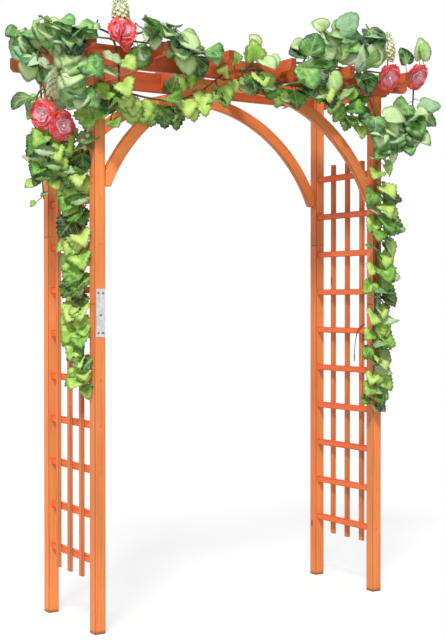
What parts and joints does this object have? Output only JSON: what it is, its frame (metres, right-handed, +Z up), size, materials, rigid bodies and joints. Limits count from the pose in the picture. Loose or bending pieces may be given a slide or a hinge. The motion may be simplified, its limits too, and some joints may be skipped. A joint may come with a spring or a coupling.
{
  "type": "garden pergola",
  "caption": "Walk-through timber garden pergola with rafters on stepped beams, curved braces, trellis sides and climbing plants.",
  "frame": {"origin": "on the ground, in the middle of the path between the four posts", "axes": "+Z up; +X along the span, from the left posts to the right posts as seen from the front; +Y from the front to the back, along the path"},
  "size_m": [1.8245, 0.781, 2.2869],
  "materials": {
    "post_timber": "satin stained softwood",
    "timber": "satin stained softwood",
    "zinc": "galvanised",
    "broad_leaf": "satin leaf",
    "ivy": "satin leaf",
    "petal": "matte petal",
    "spike": "matte petal"
  },
  "bodies": {
    "root": {"post_front_left_lower": "post_timber", "post_front_left_upper": "post_timber", "post_front_right_lower": "post_timber", "post_front_right_upper": "post_timber", "post_rear_left_lower": "post_timber", "post_rear_left_upper": "post_timber", "post_rear_right_lower": "post_timber", "post_rear_right_upper": "post_timber", "beam_front": "timber", "beam_rear": "timber", "rafter_1": "timber", "rafter_2": "timber", "rafter_3": "timber", "rafter_4": "timber", "rafter_5": "timber", "rafter_6": "timber", "arch_front_left": "timber", "arch_front_right": "timber", "arch_rear_left": "timber", "arch_rear_right": "timber", "rail_left_1": "timber", "rail_left_2": "timber", "rail_left_3": "timber", "rail_left_4": "timber", "rail_left_5": "timber", "rail_left_6": "timber", "rail_left_7": "timber", "rail_left_8": "timber", "rail_left_9": "timber", "rail_left_10": "timber", "rail_right_1": "timber", "rail_right_2": "timber", "rail_right_3": "timber", "rail_right_4": "timber", "rail_right_5": "timber", "rail_right_6": "timber", "rail_right_7": "timber", "rail_right_8": "timber", "rail_right_9": "timber", "rail_right_10": "timber", "slat_left_front": "post_timber", "slat_left_middle": "post_timber", "slat_left_rear": "post_timber", "slat_right_front": "post_timber", "slat_right_middle": "post_timber", "slat_right_rear": "post_timber", "post_dowels": "post_timber", "joint_plates": "zinc", "plate_screws": "zinc", "roof_screws": "zinc", "arch_screws": "zinc", "rail_screws": "zinc", "slat_nails": "zinc", "plant_left_top": "broad_leaf", "plant_right_top": "broad_leaf", "plant_garland": "ivy", "plant_trail_left": "ivy", "plant_trail_right": "ivy", "plant_blooms": "petal", "plant_spikes": "spike"}
  },
  "joints": []
}
